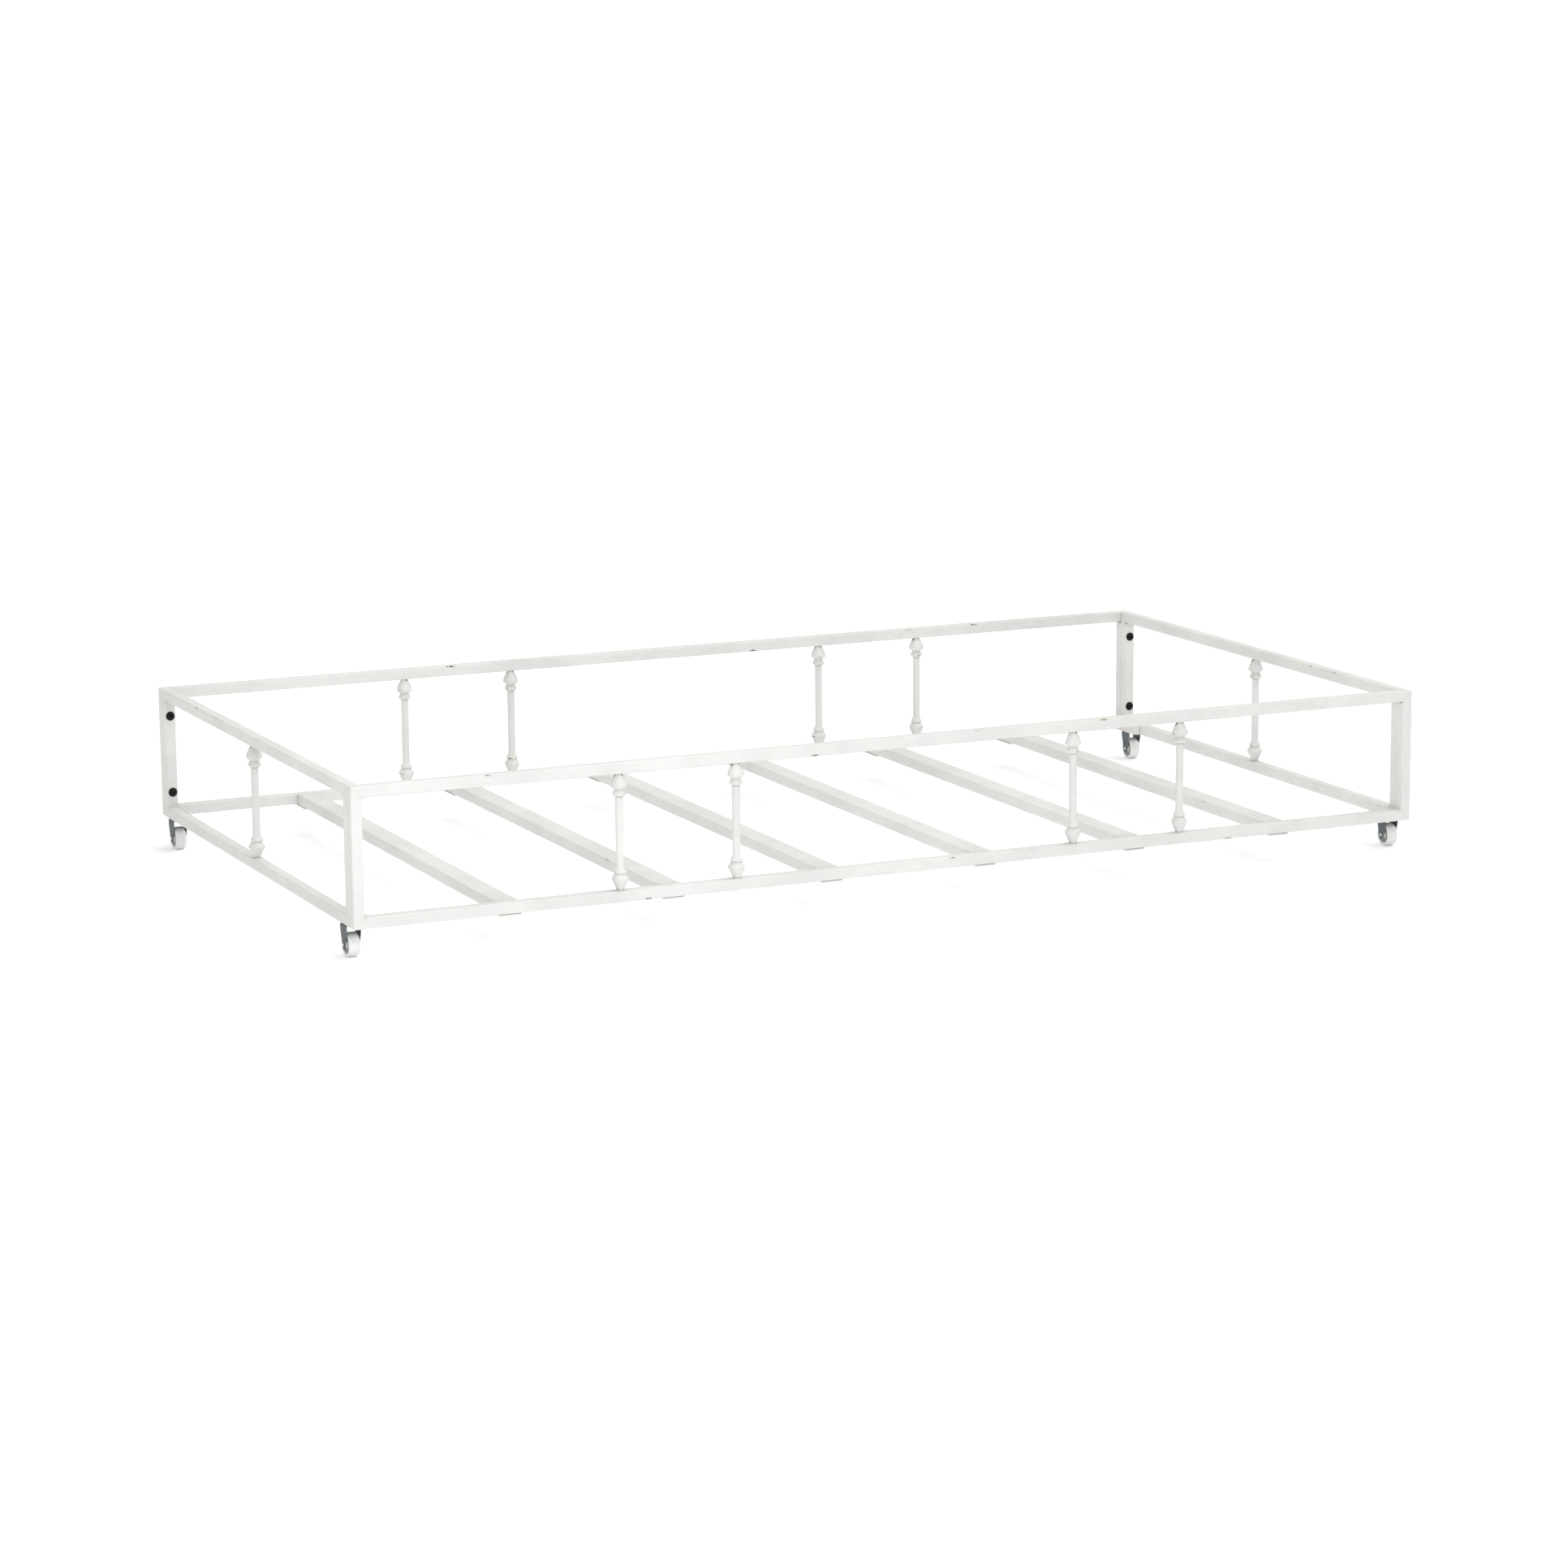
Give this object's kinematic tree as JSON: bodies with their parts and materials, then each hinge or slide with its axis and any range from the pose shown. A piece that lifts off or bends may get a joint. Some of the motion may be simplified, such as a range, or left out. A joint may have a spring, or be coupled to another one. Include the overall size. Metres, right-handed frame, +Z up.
{
  "type": "trundle bed frame",
  "caption": "Low welded steel trundle bed frame with turned spindles, bolted corners, flat slats under the mattress and fixed casters that roll sideways.",
  "frame": {"origin": "on the floor, under the middle of the bed", "axes": "+X along the length of the bed, +Y across it from the front long side to the rear long side, +Z up; the wheels roll along Y"},
  "size_m": [1.959, 1.043, 0.2835],
  "materials": {
    "antique_white_paint": "distressed satin antique white with rubbed brown edges",
    "black_steel": "black oxide",
    "zinc_plate": "zinc plated",
    "white_nylon": "satin moulded nylon"
  },
  "bodies": {
    "frame": {"front_bottom_rail": "antique_white_paint", "front_left_caster_axle": "zinc_plate", "front_left_caster_bolt": "zinc_plate", "front_left_caster_fork": "zinc_plate", "front_left_lower_bolt": "black_steel", "front_left_post": "antique_white_paint", "front_left_upper_bolt": "black_steel", "front_right_caster_axle": "zinc_plate", "front_right_caster_bolt": "zinc_plate", "front_right_caster_fork": "zinc_plate", "front_right_lower_bolt": "black_steel", "front_right_post": "antique_white_paint", "front_right_upper_bolt": "black_steel", "front_spindle_1": "antique_white_paint", "front_spindle_2": "antique_white_paint", "front_spindle_3": "antique_white_paint", "front_spindle_4": "antique_white_paint", "front_top_rail": "antique_white_paint", "left_end_bottom_rail": "antique_white_paint", "left_end_front_caster_seat": "antique_white_paint", "left_end_front_post": "antique_white_paint", "left_end_rear_caster_seat": "antique_white_paint", "left_end_rear_post": "antique_white_paint", "left_end_spindle_1": "antique_white_paint", "left_end_top_rail": "antique_white_paint", "rear_bottom_rail": "antique_white_paint", "rear_left_caster_axle": "zinc_plate", "rear_left_caster_bolt": "zinc_plate", "rear_left_caster_fork": "zinc_plate", "rear_left_lower_bolt": "black_steel", "rear_left_post": "antique_white_paint", "rear_left_upper_bolt": "black_steel", "rear_right_caster_axle": "zinc_plate", "rear_right_caster_bolt": "zinc_plate", "rear_right_caster_fork": "zinc_plate", "rear_right_lower_bolt": "black_steel", "rear_right_post": "antique_white_paint", "rear_right_upper_bolt": "black_steel", "rear_spindle_1": "antique_white_paint", "rear_spindle_2": "antique_white_paint", "rear_spindle_3": "antique_white_paint", "rear_spindle_4": "antique_white_paint", "rear_top_rail": "antique_white_paint", "right_end_bottom_rail": "antique_white_paint", "right_end_front_caster_seat": "antique_white_paint", "right_end_front_post": "antique_white_paint", "right_end_rear_caster_seat": "antique_white_paint", "right_end_rear_post": "antique_white_paint", "right_end_spindle_1": "antique_white_paint", "right_end_top_rail": "antique_white_paint", "slat_1": "antique_white_paint", "slat_2": "antique_white_paint", "slat_3": "antique_white_paint", "slat_4": "antique_white_paint", "slat_5": "antique_white_paint", "slat_6": "antique_white_paint"},
    "front_left_wheel": {"front_left_caster_wheel": "white_nylon"},
    "front_right_wheel": {"front_right_caster_wheel": "white_nylon"},
    "rear_left_wheel": {"rear_left_caster_wheel": "white_nylon"},
    "rear_right_wheel": {"rear_right_caster_wheel": "white_nylon"}
  },
  "joints": [
    {"name": "front_left_wheel_spin", "type": "hinge", "parent": "frame", "child": "front_left_wheel", "pos_m": [-0.96225, -0.465, 0.02], "axis": [1, 0, 0], "continuous": true},
    {"name": "front_right_wheel_spin", "type": "hinge", "parent": "frame", "child": "front_right_wheel", "pos_m": [0.96225, -0.465, 0.02], "axis": [1, 0, 0], "continuous": true},
    {"name": "rear_left_wheel_spin", "type": "hinge", "parent": "frame", "child": "rear_left_wheel", "pos_m": [-0.96225, 0.465, 0.02], "axis": [1, 0, 0], "continuous": true},
    {"name": "rear_right_wheel_spin", "type": "hinge", "parent": "frame", "child": "rear_right_wheel", "pos_m": [0.96225, 0.465, 0.02], "axis": [1, 0, 0], "continuous": true}
  ]
}
